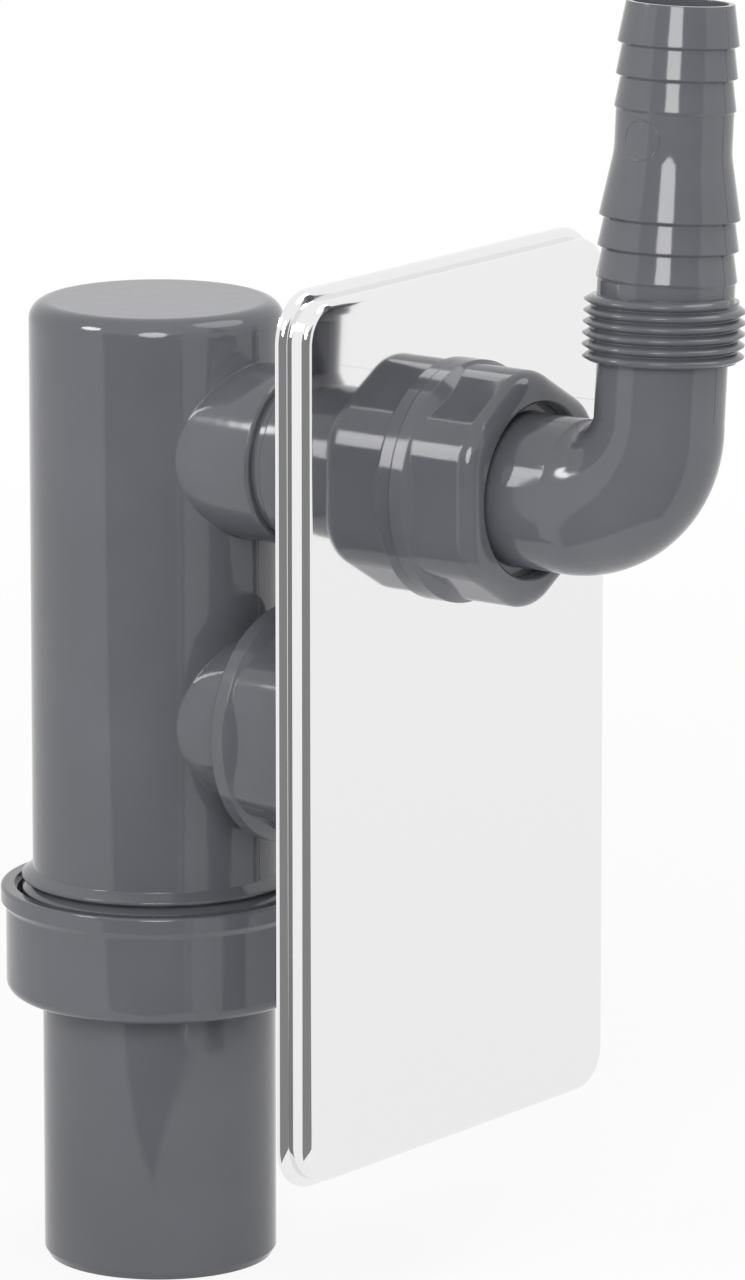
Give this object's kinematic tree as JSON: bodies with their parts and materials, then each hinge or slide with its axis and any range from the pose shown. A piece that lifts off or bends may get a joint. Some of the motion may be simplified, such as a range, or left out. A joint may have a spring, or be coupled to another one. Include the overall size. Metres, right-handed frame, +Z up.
{
  "type": "concealed washing machine trap",
  "caption": "Concealed drain trap for a washing machine: closed grey cylinder with a water seal inside, outlet spigot below, barbed hose elbow on a union nut, and a stainless cover plate.",
  "frame": {"origin": "on the trap's upright axis at the lower end of the outlet spigot", "axes": "+Z up along the spigot and the trap body; the cover plate and the hose nozzle face -Y; X across the cover plate"},
  "size_m": [0.11, 0.1773, 0.2832],
  "materials": {
    "grey_polypropylene": "glossy moulded",
    "polished_stainless": "mirror polished",
    "black_rubber": "matt moulded"
  },
  "bodies": {
    "trap": {"outlet_socket": "grey_polypropylene", "trap_body": "grey_polypropylene", "dip_wall": "grey_polypropylene", "overflow_insert": "grey_polypropylene", "socket_seal": "black_rubber", "overflow_seal": "black_rubber", "inlet_tube": "grey_polypropylene", "inlet_seal": "black_rubber", "cover_plate": "polished_stainless", "union_gasket": "black_rubber", "cap_gasket": "black_rubber"},
    "union_nut": {"union_nut": "grey_polypropylene"},
    "elbow": {"elbow_nozzle": "grey_polypropylene"},
    "cleaning_cap": {"cleaning_cap": "grey_polypropylene"}
  },
  "joints": [
    {"name": "elbow_swivel", "type": "hinge", "parent": "trap", "child": "elbow", "pos_m": [0, -0.0927, 0.179], "axis": [0, 1, 0], "continuous": true},
    {"name": "union_nut_turn", "type": "hinge", "parent": "trap", "child": "union_nut", "pos_m": [0, -0.0794, 0.179], "axis": [0, 1, 0], "continuous": true},
    {"name": "cleaning_cap_turn", "type": "hinge", "parent": "trap", "child": "cleaning_cap", "pos_m": [0, -0.0335, 0.1215], "axis": [0, 1, 0], "continuous": true}
  ]
}
